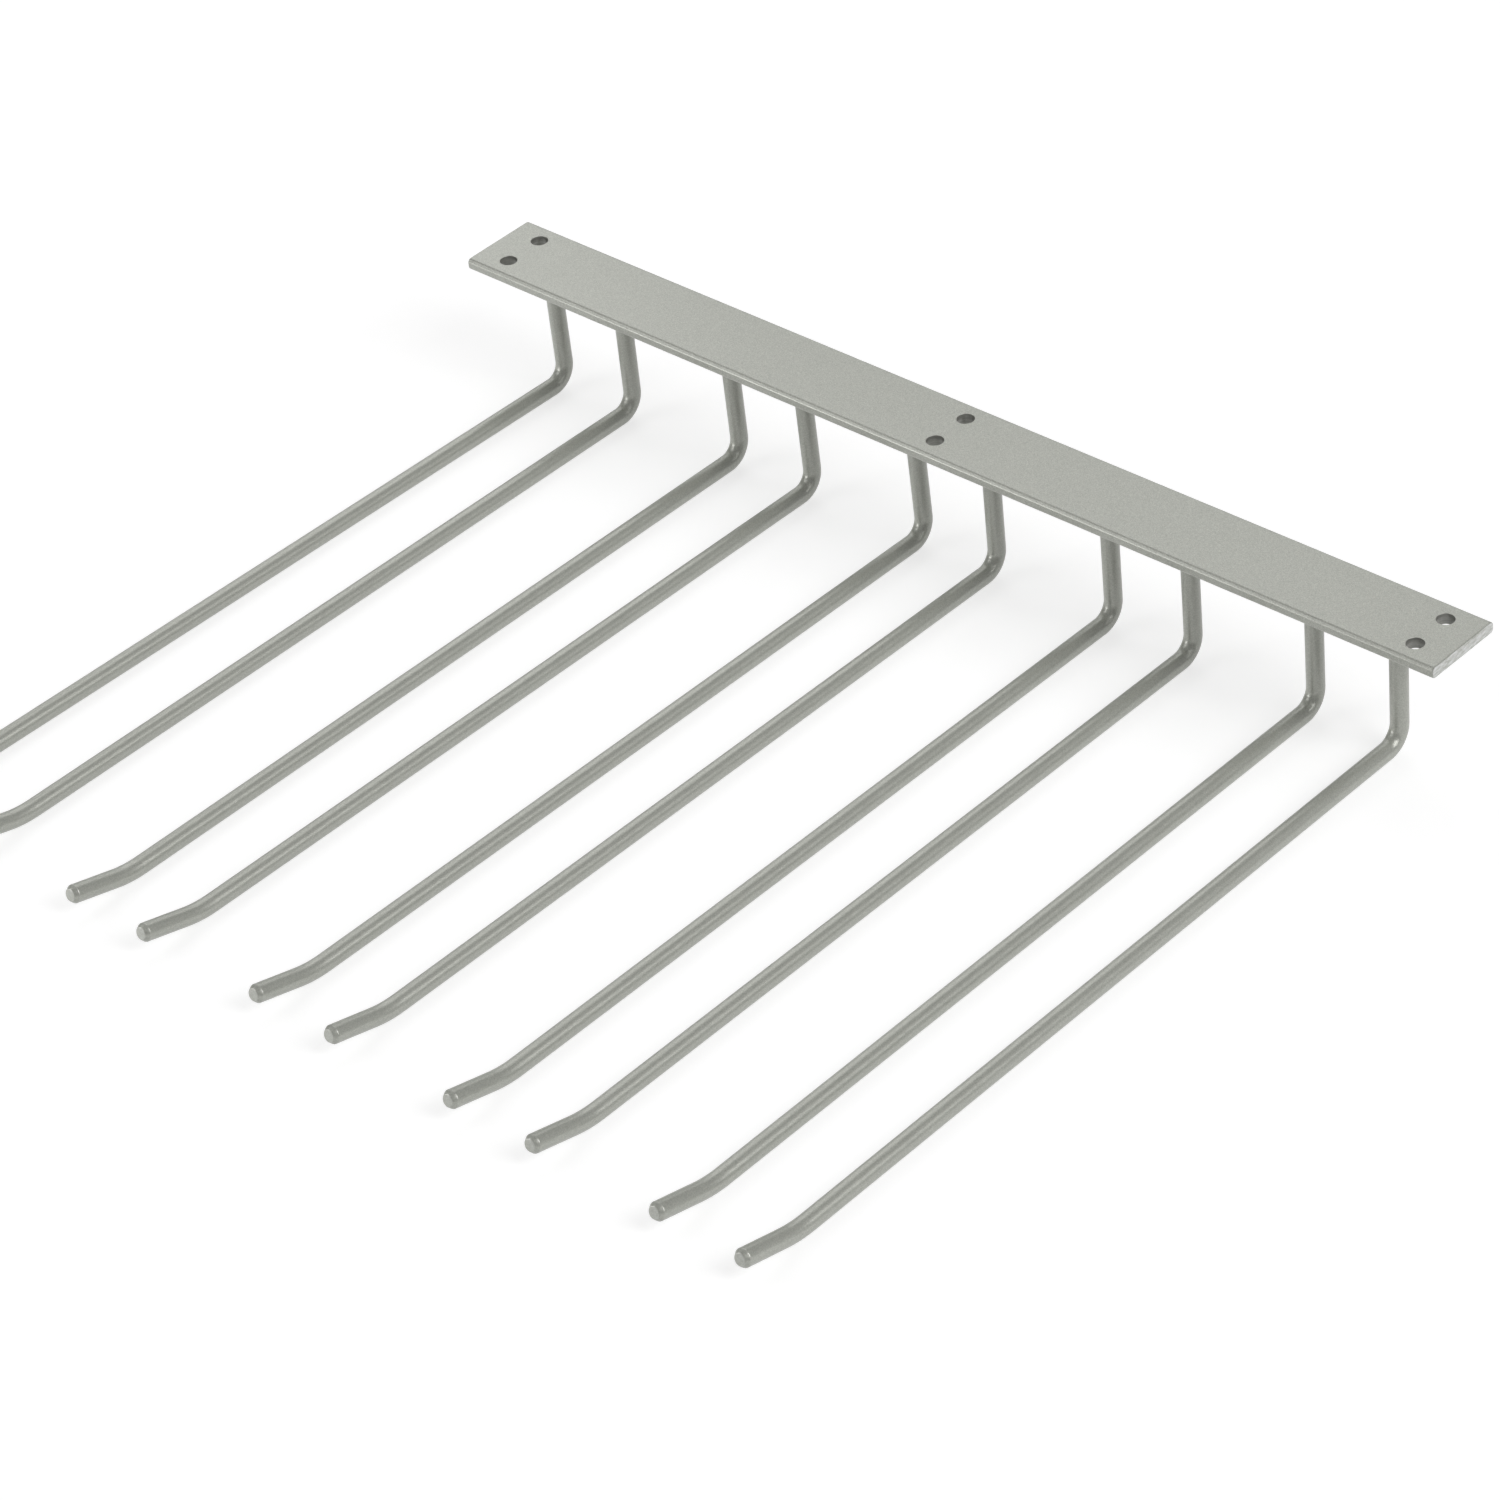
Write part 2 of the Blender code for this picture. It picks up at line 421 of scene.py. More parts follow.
    def _thin_rim(self) -> bpy.types.NodeTree:
        """A mask for the rims where the coat draws thin and where a highlight is painted on, broken up so
        that it isn't an even line.
        """
        tree, given, result = self._new_group(
            "thin rim and highlight",
            {
                "Vector": ("NodeSocketVector", None),
                "Rim": ("NodeSocketFloat", 0.0),
                "Break Scale": ("NodeSocketFloat", 420.0),
                "Amount": ("NodeSocketFloat", 0.5),
            },
            {"Mask": "NodeSocketFloat"},
        )
        wiring = Wiring(tree)
        gaps = wiring.noise(given.outputs["Vector"], given.outputs["Break Scale"], detail=3.0)
        clear_gaps = wiring.spread(gaps, low=0.38, high=0.62)
        broken = wiring.math("MULTIPLY", given.outputs["Rim"], clear_gaps)
        wiring.feed(result.inputs["Mask"], wiring.math("MULTIPLY", broken, given.outputs["Amount"]))
        return tree

    def _saw_marks(self) -> bpy.types.NodeTree:
        """The scored, mottled height and shade of a sawn face under its coat; the shade blends towards a
        lighter colour that is partly painted light.
        """
        tree, given, result = self._new_group(
            "saw marks",
            {
                "Vector": ("NodeSocketVector", None),
                "Face": ("NodeSocketFloat", 0.0),
                "Score Scale": ("NodeSocketFloat", 900.0),
                "Depth": ("NodeSocketFloat", 1.0),
            },
            {"Height": "NodeSocketFloat", "Shade": "NodeSocketFloat"},
        )
        wiring = Wiring(tree)
        along_cut = wiring.stretched(given.outputs["Vector"], (1.0, 0.35, 1.0))
        score = wiring.noise(along_cut, given.outputs["Score Scale"], detail=3.0, roughness=0.55)
        on_face = wiring.math("MULTIPLY", score, given.outputs["Face"])
        wiring.feed(result.inputs["Height"], wiring.math("MULTIPLY", on_face, given.outputs["Depth"]))
        blotch = wiring.spread(score, low=0.35, high=0.65)
        wiring.feed(result.inputs["Shade"], wiring.math("MULTIPLY", blotch, given.outputs["Face"]))
        return tree

    def _drill_marks(self) -> bpy.types.NodeTree:
        """The wall of a drilled hole: its rings, and a painted shade that darkens it as a recess."""
        tree, given, result = self._new_group(
            "drill rings and shade",
            {
                "Vector": ("NodeSocketVector", None),
                "Wall": ("NodeSocketFloat", 0.0),
                "Ring Scale": ("NodeSocketFloat", 500.0),
                "Ring Depth": ("NodeSocketFloat", 1.5),
            },
            {"Height": "NodeSocketFloat", "Wall Shade": "NodeSocketFloat"},
        )
        wiring = Wiring(tree)
        round_wall = wiring.stretched(given.outputs["Vector"], (0.25, 0.25, 3.0))
        rings = wiring.noise(round_wall, given.outputs["Ring Scale"], detail=2.0)
        on_wall = wiring.math("MULTIPLY", rings, given.outputs["Wall"])
        wiring.feed(result.inputs["Height"], wiring.math("MULTIPLY", on_wall, given.outputs["Ring Depth"]))
        # Painted shade: two thirds dark at the least, and wholly dark on the rings
        thirds = wiring.math("ADD", wiring.spread(rings, low=0.3, high=0.7), 2.0)
        wall_shade = wiring.math("MULTIPLY", thirds, 1 / 3)
        wiring.feed(result.inputs["Wall Shade"], wiring.math("MULTIPLY", wall_shade, given.outputs["Wall"]))
        return tree


# The finishes


@dataclass(frozen=True)
class PowderCoat:
    """Silver-grey powder coat with a fine metallic grain, over one kind of steel piece, with painted shade in
    the holes, a painted highlight on the rims and painted light on the sawn ends.
    """

    name: str
    colour: tuple[float, float, float] = (0.45, 0.46, 0.415)
    # Lighter colour on the rims: partly a thinner coat, partly a painted highlight where the edges catch the
    # light
    rim_and_highlight_colour: tuple[float, float, float] = (0.60, 0.605, 0.58)
    # The sawn ends' lighter colour: partly their saw mottle, partly painted light on end faces that face the
    # lamps
    sawn_and_lit_colour: tuple[float, float, float] = (0.74, 0.75, 0.74)
    # Painted shade: the dark colour laid on the walls of the holes
    bore_shade_colour: tuple[float, float, float] = (0.19, 0.19, 0.175)
    roughness: float = 0.35
    roughness_swing: float = 0.02
    metallic: float = 0.35
    metallic_swing: float = 0.06
    gloss: float = 0.3
    gloss_roughness: float = 0.28
    flake_contrast: float = 0.25
    cloud_contrast: float = 0.03
    ripple_height: float = 0.5
    grain_height: float = 0.35
    rim_and_highlight_amount: float = 0.5
    saw_depth: float = 1.0
    bump_distance: float = 0.03 * MM

    def material(self, effects: Effects) -> bpy.types.Material:
        """Build the finish as one material.

        Args:
            effects: The shared node groups.

        Returns:
            The material, ready for a piece's slot.
        """
        material = bpy.data.materials.new(self.name)
        material.use_nodes = True
        wiring = Wiring(material.node_tree)
        shader = material.node_tree.nodes["Principled BSDF"]
        place = wiring.add("ShaderNodeTexCoord").outputs["Object"]
        rim, sawn, bore = (
            wiring.add("ShaderNodeAttribute", attribute_name=mask).outputs["Fac"] for mask in MASKS
        )
        grain = wiring.group(
            effects.group("coat grain"),
            Vector=place,
            Colour=(*self.colour, 1.0),
            Flake_Contrast=self.flake_contrast,
            Cloud_Contrast=self.cloud_contrast,
        )
        rim_and_highlight = wiring.group(effects.group("thin rim and highlight"), Vector=place, Rim=rim, Amount=self.rim_and_highlight_amount)
        saw = wiring.group(effects.group("saw marks"), Vector=place, Face=sawn, Depth=self.saw_depth)
        drill = wiring.group(effects.group("drill rings and shade"), Vector=place, Wall=bore)
        peel = wiring.group(
            effects.group("orange peel"),
            Vector=place,
            Ripple_Height=self.ripple_height,
            Grain_Height=self.grain_height,
        )
        # Sawn faces: saw mottle together with painted light
        with_saw = wiring.blend_colour(saw.outputs["Shade"], grain.outputs["Colour"], self.sawn_and_lit_colour)
        # Lighter rims: thin coat and a painted highlight
        with_rim = wiring.blend_colour(rim_and_highlight.outputs["Mask"], with_saw, self.rim_and_highlight_colour)
        # Painted shade on the walls of the holes
        with_bore = wiring.blend_colour(drill.outputs["Wall Shade"], with_rim, self.bore_shade_colour)
        wiring.feed(shader.inputs["Base Color"], with_bore)
        dulled = wiring.spread(grain.outputs["Cloud"], low=0.2, high=0.8)
        glossy, dull = self.roughness - self.roughness_swing, self.roughness + self.roughness_swing
        wiring.feed(shader.inputs["Roughness"], wiring.between(dulled, glossy, dull))
        least, most = self.metallic - self.metallic_swing, self.metallic + self.metallic_swing
        wiring.feed(shader.inputs["Metallic"], wiring.between(grain.outputs["Flake"], least, most))
        shader.inputs["Coat Weight"].default_value = self.gloss
        shader.inputs["Coat Roughness"].default_value = self.gloss_roughness
        bump = wiring.add("ShaderNodeBump")
        bump.inputs["Distance"].default_value = self.bump_distance
        height = wiring.math("ADD", peel.outputs["Height"], saw.outputs["Height"])
        height = wiring.math("ADD", height, drill.outputs["Height"])
        wiring.feed(bump.inputs["Height"], height)
        wiring.feed(shader.inputs["Normal"], bump.outputs["Normal"])
        return material


# The pieces


class Side(Enum):
    """The two rods of a row, by the side of the row's centre line that they stand on."""

    LEFT = -1
    RIGHT = 1


@dataclass(frozen=True)
class RodPlace:
    """Where one rod stands under the bar, and how it was turned and tilted when it was welded on."""

    row: int
    side: Side
    along: float
    turn: float
    tilt: float
    top: float = WELD_LEVEL

    @property
    def ending(self) -> str:
        """The end of the rod's name and its bead's name."""
        return f"{self.row}_{self.side.name.lower()}"

    def stand(self, spin: float = 0.0) -> Matrix:
        """The move that takes a pattern from the Z axis to this place.

        Args:
            spin: How far the pattern is first spun about its own leg.

        Returns:
            The move: the leg leans about its top, and what leans is then turned about the upright.
        """
        lean = Matrix.Rotation(self.tilt, 4, "Y") @ Matrix.Rotation(spin, 4, "Z")
        turned = Matrix.Rotation(self.turn, 4, "Z") @ lean
        top = Vector((0, 0, self.top))
        return Matrix.Translation(top + Vector((self.along, 0, 0))) @ turned @ Matrix.Translation(-top)


@dataclass
class MountingBar:
    """The flat bar: rolled long edges, sawn ends and three pairs of drilled screw holes."""

    finish: bpy.types.Material
    length: float = 400 * MM
    width: float = 30 * MM
    thickness: float = 4 * MM
    edge_radius: float = 1.3 * MM
    lower_edge_radius: float = 1.0 * MM
    edge_segments: int = 10
    edge_profile: float = 0.42
    end_rounding: float = 0.7 * MM
    end_profile: float = 0.8
    end_segments: int = 8
    end_cuts: int = 36
    end_waver: float = 0.35 * MM
    end_waver_scale: float = 130.0
    sawn_border: float = 0.12 * MM
    hole_diameter: float = 5.8 * MM
    hole_spacing: float = 15 * MM
    hole_end_distance: float = 12 * MM
    hole_sides: int = 160
    rim_softening: float = 0.16 * MM
    rim_segments: int = 3
    rim_waver: float = 0.09 * MM
    rim_waver_scale: float = 600.0

    def build(self) -> bpy.types.Object:
        """Model the bar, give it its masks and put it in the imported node's place."""
        bar = self._rolled_flat()
        self._crop_ends(bar)
        for number, centre in enumerate(self.hole_centres(), start=1):
            self._drill(bar, number, centre)
        self._soften_hole_rims(bar)
        shade_rounded(bar)
        self._mask(bar)
        bar.data.materials.clear()
        bar.data.materials.append(self.finish)
        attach(bar, RACK_BODY)
        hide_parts("mounting_bar")
        return bar

    def hole_centres(self) -> list[Vector]:
        """The centre of each screw hole on the top face."""
        end_pair = self.length / 2 - self.hole_end_distance
        half = self.hole_spacing / 2
        return [Vector((along, across, 0)) for along in (-end_pair, 0, end_pair) for across in (-half, half)]

    def _rolled_flat(self) -> bpy.types.Object:
        """The flat stock, its four long edges rolled round."""
        deselect_everything()
        bpy.ops.mesh.primitive_cube_add(size=1, location=(0, 0, -self.thickness / 2))
        bar = name_active("powder_coated_bar")
        bar.scale = (self.length, self.width, self.thickness)
        apply_place(bar)
        bpy.ops.object.mode_set(mode="EDIT")
        for level, radius in ((0, self.edge_radius), (-self.thickness, self.lower_edge_radius)):
            self._pick_long_edges(bar, level)
            bpy.ops.mesh.bevel(
                offset=radius, segments=self.edge_segments, profile=self.edge_profile, affect="EDGES"
            )
        bpy.ops.object.mode_set(mode="OBJECT")
        return bar

    def _pick_long_edges(self, bar: bpy.types.Object, level: float) -> None:
        """Select the two sharp long edges at one height, in edit mode."""
        half = self.width / 2

        def long_edge(a: Vector, b: Vector) -> bool:
            sharp = abs(abs(a.y) - half) < TINY and abs(a.z - level) < TINY
            return sharp and abs(a.x - b.x) > self.length / 2

        pick_edges(bar, long_edge)

    def _crop_ends(self, bar: bpy.types.Object) -> None:
        """Draw the border of both cropped ends in and down, as the shears do, and let it waver."""
        make_active(bar)
        bpy.ops.object.mode_set(mode="EDIT")
        reach = self.length / 2
        flat = self.width - 2 * self.edge_radius

        def at_end(a: Vector, b: Vector) -> bool:
            return min(abs(a.x), abs(b.x)) > reach - TINY and a.x * b.x > 0

        pick_edges(bar, lambda a, b: at_end(a, b) and abs(a.y - b.y) > flat - TINY)
        bpy.ops.mesh.subdivide(number_cuts=self.end_cuts)
        merge_faces(bar, lambda normal: abs(normal.x) > 1 - TINY)
        merge_faces(bar, lambda normal: abs(normal.z) > 1 - TINY)
        pick_edges(bar, at_end)
        bpy.ops.mesh.bevel(
            offset=self.end_rounding, segments=self.end_segments, profile=self.end_profile, affect="EDGES"
        )
        bpy.ops.object.mode_set(mode="OBJECT")
        for vert in bar.data.vertices:
            back = reach - abs(vert.co.x)
            # Each end has a row of the noise to itself
            row = (math.copysign(3.1, vert.co.x), 0.4)
            drift = 0.5 + 0.5 * noise.noise(Vector((vert.co.y * self.end_waver_scale, *row)))
            drawn = self.end_waver * drift * fade(back - self.end_rounding, self.end_rounding)
            vert.co.x -= math.copysign(drawn, vert.co.x)

    def _drill(self, bar: bpy.types.Object, number: int, centre: Vector) -> None:
        """Cut one screw hole through the bar.

        Args:
            bar: The bar.
            number: The hole's number, for the cut's name.
            centre: The hole's centre on the top face.
        """
        deselect_everything()
        bpy.ops.mesh.primitive_cylinder_add(
            vertices=self.hole_sides,
            radius=self.hole_diameter / 2,
            depth=self.thickness * 2,
            location=centre - Vector((0, 0, self.thickness / 2)),
        )
        drill = name_active(f"drill_{number}")
        cut = bar.modifiers.new(f"screw_hole_{number}", "BOOLEAN")
        cut.operation = "DIFFERENCE"
        cut.solver = "EXACT"
        cut.object = drill
        apply_modifier(bar, cut)
        remove_piece(drill)

    def _soften_hole_rims(self, bar: bpy.types.Object) -> None:
        """Break the sharp rim of every hole, above and below, and let it waver a little."""
        make_active(bar)
        bpy.ops.object.mode_set(mode="EDIT")

        def on_rim(a: Vector, b: Vector) -> bool:
            level = self._off_face(a) < TINY and abs(a.z - b.z) < TINY
            # The middle is tested too, because an edge can run across from one hole to another
            return level and max(self._off_holes(place) for place in (a, b, (a + b) / 2)) < NEAR

        pick_edges(bar, on_rim)
        bpy.ops.mesh.bevel(
            offset=self.rim_softening, segments=self.rim_segments, profile=0.5, affect="EDGES"
        )
        bpy.ops.object.mode_set(mode="OBJECT")
        for vert in bar.data.vertices:
            if self._off_holes(vert.co) < self.rim_softening * 1.2:
                drift = noise.noise_vector(vert.co * self.rim_waver_scale) * self.rim_waver
                share = fade(self._off_face(vert.co), self.rim_softening)
                vert.co += Vector((drift.x, drift.y, 0)) * share

    def _off_face(self, place: Vector) -> float:
        """How deep a place lies under the nearer of the two wide faces."""
        return min(abs(place.z), abs(place.z + self.thickness))

    def _off_holes(self, place: Vector) -> float:
        """How far a place stands off the wall of the nearest hole, seen from above."""
        radius = self.hole_diameter / 2
        return min(abs((place.xy - centre.xy).length - radius) for centre in self.hole_centres())

    def _mask(self, bar: bpy.types.Object) -> None:
        """Mark the rims where the coat draws thin and a highlight is painted, the hole walls for their
        painted shade and the two sawn faces, which are partly painted light.
        """
        reach = self.length / 2

        def rim(place: Vector) -> float:
            # Only the rings inside the rounding: a marked corner of the wide face would tint all of it
            deep = TINY < self._off_face(place) < 0.8 * self.rim_softening
            return 1.0 if deep and self._off_holes(place) < 2 * self.rim_softening else 0.0

        def bore(place: Vector) -> float:
            return 1.0 if self._off_holes(place) < self.rim_softening / 2 < self._off_face(place) else 0.0

        paint_mask(bar, RIM_AND_HIGHLIGHT_MASK, rim)
        paint_mask(bar, BORE_MASK, bore)
        paint_mask(bar, SAWN_MASK, lambda place: fade(reach - abs(place.x), self.sawn_border))


@dataclass
class GlassRail:
    """One rod: a short leg under the bar, a tight bend, a long run and a tip that turns up."""

    finish: bpy.types.Material
    radius: float = 3 * MM
    leg_top: float = WELD_LEVEL
    run_height: float = -46 * MM
    reach: float = 300 * MM
    leg_bend_radius: float = 7 * MM
    tip_bend_radius: float = 40 * MM
    tip_angle: float = math.radians(15)
    tip_length: float = 18 * MM
    chamfer: float = 1.4 * MM
    chamfer_depth: float = 1 * MM
    sides: int = 48
    leg_steps: int = 3
    leg_bend_steps: int = 16
    run_steps: int = 16
    tip_bend_steps: int = 8
    end_softening: float = 0.2 * MM
    end_segments: int = 4
    bend_press: float = 0.05
    bend_bulge: float = 0.5
    # How much of the painted highlight the chamfer's outer rim gets
    outer_rim_highlight: float = 0.6
    # The tip's end face takes a little of the sawn colour, with its painted light
    sawn_and_lit_share: float = 0.2

    def pattern(self) -> bpy.types.Object:
        """Model one rod with its leg on the Z axis, from which every rod is copied."""
        deselect_everything()
        bpy.ops.mesh.primitive_circle_add(
            vertices=self.sides, radius=self.radius, fill_type="NOTHING", location=(0, 0, self.leg_top)
        )
        rod = name_active("rod_pattern")
        apply_place(rod)
        bpy.ops.object.mode_set(mode="EDIT")
        bpy.ops.mesh.select_all(action="SELECT")
        self._run_on(Vector((0, 0, self.run_height + self.leg_bend_radius - self.leg_top)), self.leg_steps)
        leg_centre = Vector((0, -self.leg_bend_radius, self.run_height + self.leg_bend_radius))
        self._run_round(leg_centre, math.pi / 2, self.leg_bend_steps)
        self._run_on(Vector((0, -self._run_length(), 0)), self.run_steps)
        run_end = -self.leg_bend_radius - self._run_length()
        bend_centre = Vector((0, run_end, self.run_height + self.tip_bend_radius))
        self._run_round(bend_centre, self.tip_angle, self.tip_bend_steps)
        outwards = self._along_tip()
        self._run_on(outwards * (self.tip_length - self.chamfer), 2)
        self._chamfer(rod, outwards)
        self._close_top(rod)
        tidy_mesh()
        bpy.ops.object.mode_set(mode="OBJECT")
        self._soften_tip(rod)
        self._flatten_bend(rod)
        shade_rounded(rod)
        self._mask(rod)
        rod.data.materials.clear()
        rod.data.materials.append(self.finish)
        return rod

    def place(self, pattern: bpy.types.Object, spot: RodPlace) -> bpy.types.Object:
        """Copy the rod to its place under the bar.

        Args:
            pattern: The rod with its leg on the Z axis.
            spot: Where it stands and how it is turned.

        Returns:
            The rod in its place.
        """
        rod = copy_piece(pattern, f"bent_rod_{spot.ending}")
        rod.data.transform(spot.stand())
        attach(rod, RACK_BODY)
        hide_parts(f"glass_rail_{spot.ending}")
        return rod

    def _run_length(self) -> float:
        """The straight run between the two bends."""
        bend = self.tip_bend_radius * math.sin(self.tip_angle)
        return self.reach - self.leg_bend_radius - bend - self.tip_length * math.cos(self.tip_angle)

    def _along_tip(self) -> Vector:
        """The direction in which the tip points."""
        return Vector((0, -math.cos(self.tip_angle), math.sin(self.tip_angle)))

    def _run_on(self, travel: Vector, steps: int) -> None:
        """Carry the rod's open end straight on in equal steps."""
        for _ in range(steps):
            bpy.ops.mesh.extrude_region_move(TRANSFORM_OT_translate={"value": travel / steps})

    def _run_round(self, centre: Vector, angle: float, steps: int) -> None:
        """Carry the rod's open end round a bend in the YZ plane."""
        bpy.ops.mesh.spin(steps=steps, angle=angle, center=centre, axis=(1, 0, 0))

    def _chamfer(self, rod: bpy.types.Object, outwards: Vector) -> None:
        """Turn the end of the tip down to a chamfer and close it."""
        self._run_on(outwards * self.chamfer, 1)
        share = (self.radius - self.chamfer_depth) / self.radius
        bpy.ops.transform.resize(value=(share, share, share), center_override=self._tip_centre())
        bpy.ops.mesh.edge_face_add()

    def _tip_centre(self) -> Vector:
        """The middle of the tip's end face."""
        bend_rise = self.tip_bend_radius * (1 - math.cos(self.tip_angle))
        rise = bend_rise + self.tip_length * math.sin(self.tip_angle)
        return Vector((0, -self.reach, self.run_height + rise))

    def _close_top(self, rod: bpy.types.Object) -> None:
        """Close the top of the leg."""
        pick_edges(rod, lambda a, b: min(a.z, b.z) > self.leg_top - TINY)
        bpy.ops.mesh.edge_face_add()

    def _soften_tip(self, rod: bpy.types.Object) -> None:
        """Break the two sharp rims of the chamfer."""
        make_active(rod)
        bpy.ops.object.mode_set(mode="EDIT")
        outwards = self._along_tip()
        centre = self._tip_centre()

        def on_rim(place: Vector) -> bool:
            back = (centre - place).dot(outwards)
            return abs(back) < NEAR or abs(back - self.chamfer) < NEAR

        def along_ring(a: Vector, b: Vector) -> bool:
            return on_rim(a) and on_rim(b) and abs((a - b).dot(outwards)) < NEAR

        pick_edges(rod, along_ring)
        bpy.ops.mesh.bevel(
            offset=self.end_softening, segments=self.end_segments, profile=0.5, affect="EDGES"
        )
        bpy.ops.object.mode_set(mode="OBJECT")

    def _flatten_bend(self, rod: bpy.types.Object) -> None:
        """Press the tight bend a little flatter across its plane, as a bending tool does."""
        centre = Vector((0, -self.leg_bend_radius, self.run_height + self.leg_bend_radius))
        for vert in rod.data.vertices:
            arm = Vector((0, vert.co.y - centre.y, vert.co.z - centre.z))
            turned = math.atan2(-arm.z, arm.y)
            if not 0 < turned < math.pi / 2 or vert.co.y < centre.y:
                continue
            press = math.sin(2 * turned) ** 2 * self.bend_press
            off = arm.length - self.leg_bend_radius
            vert.co -= arm.normalized() * off * press
            vert.co.x *= 1 + press * self.bend_bulge

    def _mask(self, rod: bpy.types.Object) -> None:
        """Mark the rims of the chamfer for their thin coat and painted highlight, and the sawn end face for
        its lighter colour, partly painted light.
        """
        outwards = self._along_tip()
        centre = self._tip_centre()

        def rim(place: Vector) -> float:
            back = (centre - place).dot(outwards)
            off = (centre - place - outwards * back).length
            inner = math.hypot(back, off - self.radius + self.chamfer_depth)
            outer = math.hypot(back - self.chamfer, off - self.radius)
            # The outer rim takes a weaker painted highlight
            outer_highlight = self.outer_rim_highlight * fade(outer, self.end_softening)
            return max(fade(inner, self.end_softening), outer_highlight)

        def sawn(place: Vector) -> float:
            return self.sawn_and_lit_share if (centre - place).dot(outwards) < NEAR else 0.0

        paint_mask(rod, RIM_AND_HIGHLIGHT_MASK, rim)
        paint_mask(rod, SAWN_MASK, sawn)
        paint_mask(rod, BORE_MASK, lambda place: 0.0)


@dataclass
class WeldBead:
    """The rippled ring of weld metal that joins the top of a leg to the underside of the bar."""

    finish: bpy.types.Material
    bore: float = 3.02 * MM
    size: float = 2 * MM
    top: float = WELD_LEVEL
    section_steps: int = 6
    ring_steps: int = 64
    ripples: int = 15
    ripple_depth: float = 0.16
    drift_depth: float = 0.12
    drift_scale: float = 1.7
    spin_step: float = math.radians(37)
    smooth_limit: float = math.radians(50)

    def pattern(self) -> bpy.types.Object:
        """Model one bead round the Z axis, from which every bead is copied."""
        mesh = bpy.data.meshes.new("bead_pattern")
        bead = bpy.data.objects.new("bead_pattern", mesh)
        bpy.context.scene.collection.objects.link(bead)
        corners = [Vector((self.bore, 0, self.top))]
        for step in range(self.section_steps + 1):
            angle = math.pi / 2 * step / self.section_steps
            out = self.bore + self.size * math.cos(angle)
            corners.append(Vector((out, 0, self.top - self.size * math.sin(angle))))
        mesh.from_pydata(corners, [(i, (i + 1) % len(corners)) for i in range(len(corners))], [])
        make_active(bead)
        bpy.ops.object.mode_set(mode="EDIT")
        bpy.ops.mesh.select_all(action="SELECT")
        bpy.ops.mesh.spin(steps=self.ring_steps, angle=math.tau, center=(0, 0, 0), axis=(0, 0, 1))
        tidy_mesh()
        bpy.ops.object.mode_set(mode="OBJECT")
        self._ripple(bead)
        make_active(bead)
        bpy.ops.object.shade_smooth_by_angle(angle=self.smooth_limit)
        for mask in MASKS:
            paint_mask(bead, mask, lambda place: 0.0)
        mesh.materials.append(self.finish)
        return bead

    def place(self, pattern: bpy.types.Object, spot: RodPlace) -> bpy.types.Object:
        """Copy the bead round the top of one leg, turned so that no two start at the same ripple."""
        bead = copy_piece(pattern, f"rippled_bead_{spot.ending}")
        bead.data.transform(spot.stand(self.spin_step * (2 * spot.row + spot.side.value)))
        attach(bead, RACK_BODY)
        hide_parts(f"weld_bead_{spot.ending}")
        return bead

    def _ripple(self, bead: bpy.types.Object) -> None:
        """Draw the outer side of the ring in and out, as the weld pool freezes."""
        for vert in bead.data.vertices:
            flat = Vector((vert.co.x, vert.co.y, 0))
            if flat.length < self.bore + NEAR:
                continue
            around = math.atan2(flat.y, flat.x)
            wave = abs(math.sin(around * self.ripples / 2))
            drift = noise.noise(Vector((math.cos(around), math.sin(around), 0)) * self.drift_scale)
            share = (flat.length - self.bore) / self.size
            pull = (self.ripple_depth * (1 - wave) + self.drift_depth * (drift + 1) / 2) * share
            vert.co -= flat.normalized() * self.size * pull


@dataclass
class Rack:
    """The whole weldment: the bar, and a rod and a bead at every place under it."""

    effects: Effects
    row_count: int = 5
    row_pitch: float = 80 * MM
    rod_spacing: float = 32 * MM
    # How far each rod was turned about its leg when it was welded on, in degrees, from the far left
    turns: tuple[float, ...] = (-0.97, -0.22, -0.18, -0.36, -0.28, -0.12, 0.02, 0.12, 0.14, 0.18)
    # How many millimetres each rod's run hangs to the right of its weld, as the legs aren't quite square
    offsets: tuple[float, ...] = (1.2, 0.6, 1.2, 1.5, 1.6, 0.2, 0.05, 0, -0.18, -0.3)
    leg_length: float = 41.7 * MM

    def build(self) -> None:
        """Build every piece in order."""
        bar_coat = PowderCoat("bar_powder_coat", flake_contrast=0.45, cloud_contrast=0.02, ripple_height=0.1)
        self._report(MountingBar(bar_coat.material(self.effects)).build())
        # The rods' rims get a stronger painted highlight
        rod_coat = PowderCoat("rod_powder_coat", flake_contrast=0.34, grain_height=0.95, rim_and_highlight_amount=0.9)
        rail = GlassRail(rod_coat.material(self.effects))
        bead = WeldBead(PowderCoat("bead_powder_coat").material(self.effects))
        rod_pattern = rail.pattern()
        bead_pattern = bead.pattern()
        for spot in self.places():
            self._report(rail.place(rod_pattern, spot))
            self._report(bead.place(bead_pattern, spot))
        remove_piece(rod_pattern)
        remove_piece(bead_pattern)

    def places(self) -> Iterable[RodPlace]:
        """Every place under the bar, counted from the far left of the photograph."""
        turns = iter(self.turns)
        offsets = iter(self.offsets)
        for row in range(self.row_count):
            centre = (row - (self.row_count - 1) / 2) * self.row_pitch
            for side in Side:
                along = centre + side.value * self.rod_spacing / 2
                tilt = -math.asin(next(offsets) * MM / self.leg_length)
                yield RodPlace(row + 1, side, along, math.radians(next(turns)), tilt)

    @staticmethod
    def _report(piece: bpy.types.Object) -> None:
        """Say in the log that a piece is finished."""
        log.info("%s: %d faces", piece.name, len(piece.data.polygons))


# The studio


